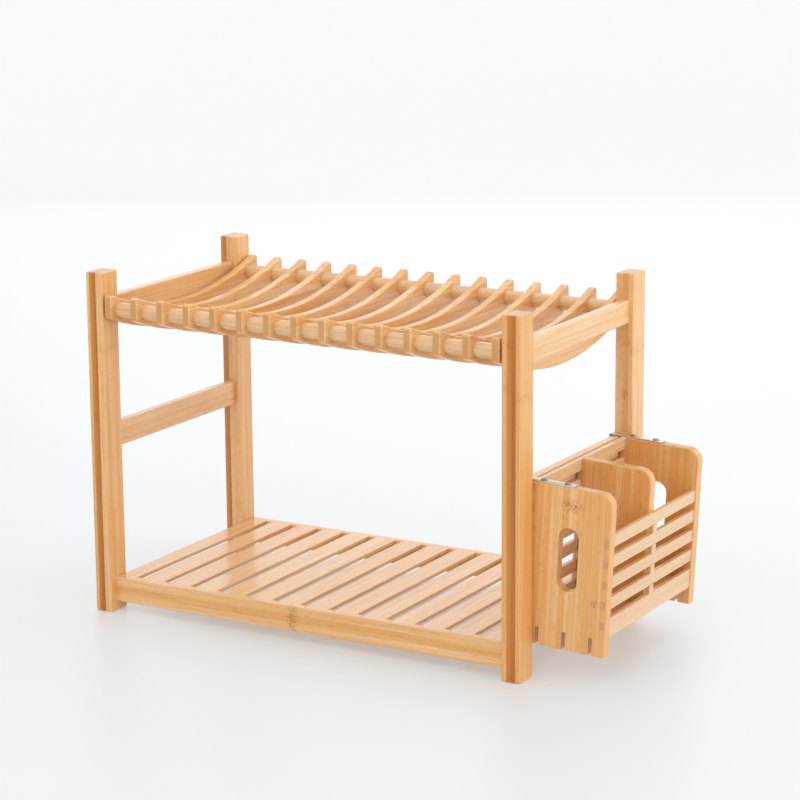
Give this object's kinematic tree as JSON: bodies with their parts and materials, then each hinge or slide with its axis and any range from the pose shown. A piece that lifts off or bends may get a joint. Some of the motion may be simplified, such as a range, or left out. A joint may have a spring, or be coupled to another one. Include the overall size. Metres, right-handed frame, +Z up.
{
  "type": "dish drying rack",
  "caption": "Two-tier bamboo dish rack: curved ribs hold plates on edge above a slatted shelf, with a lift-off cutlery caddy hooked on one side.",
  "frame": {"origin": "on the worktop under the feet, at the middle of the overall box of the rack with its caddy", "axes": "+X along the rack towards the caddy side, +Y from the front to the back, +Z up"},
  "size_m": [0.5342, 0.252, 0.33],
  "materials": {
    "bamboo": "satin",
    "steel": "satin"
  },
  "bodies": {
    "rack": {"post_front_left": "bamboo", "post_front_right": "bamboo", "post_back_left": "bamboo", "post_back_right": "bamboo", "tray_bar_front": "bamboo", "tray_bar_back": "bamboo", "top_rail_left": "bamboo", "top_rail_right": "bamboo", "mid_rail_left": "bamboo", "mid_rail_right": "bamboo", "shelf_rail_front": "bamboo", "shelf_rail_back": "bamboo", "shelf_slat_01": "bamboo", "shelf_slat_02": "bamboo", "shelf_slat_03": "bamboo", "shelf_slat_04": "bamboo", "shelf_slat_05": "bamboo", "shelf_slat_06": "bamboo", "shelf_slat_07": "bamboo", "shelf_slat_08": "bamboo", "shelf_slat_09": "bamboo", "shelf_slat_10": "bamboo", "shelf_slat_11": "bamboo", "shelf_slat_12": "bamboo", "shelf_slat_13": "bamboo", "shelf_slat_14": "bamboo", "rib_01": "bamboo", "rib_02": "bamboo", "rib_03": "bamboo", "rib_04": "bamboo", "rib_05": "bamboo", "rib_06": "bamboo", "rib_07": "bamboo", "rib_08": "bamboo", "rib_09": "bamboo", "rib_10": "bamboo", "rib_11": "bamboo", "rib_12": "bamboo", "rib_13": "bamboo", "rib_14": "bamboo", "rib_15": "bamboo"},
    "caddy": {"caddy_panel_front": "bamboo", "caddy_panel_back": "bamboo", "caddy_divider": "bamboo", "caddy_floor_slat_1": "bamboo", "caddy_floor_slat_2": "bamboo", "caddy_floor_slat_3": "bamboo", "caddy_outer_rail_1": "bamboo", "caddy_outer_rail_2": "bamboo", "caddy_outer_rail_3": "bamboo", "caddy_outer_rail_4": "bamboo", "caddy_outer_rail_5": "bamboo", "caddy_outer_stile": "bamboo", "caddy_inner_rails": "bamboo", "caddy_inner_stile": "bamboo", "caddy_hook_front": "steel", "caddy_hook_back": "steel", "caddy_hook_screws": "steel"}
  },
  "joints": [
    {"name": "caddy_lift", "type": "slide", "parent": "rack", "child": "caddy", "axis": [0.0523, 0, 0.9986], "range_m": [0, 0.09]}
  ]
}
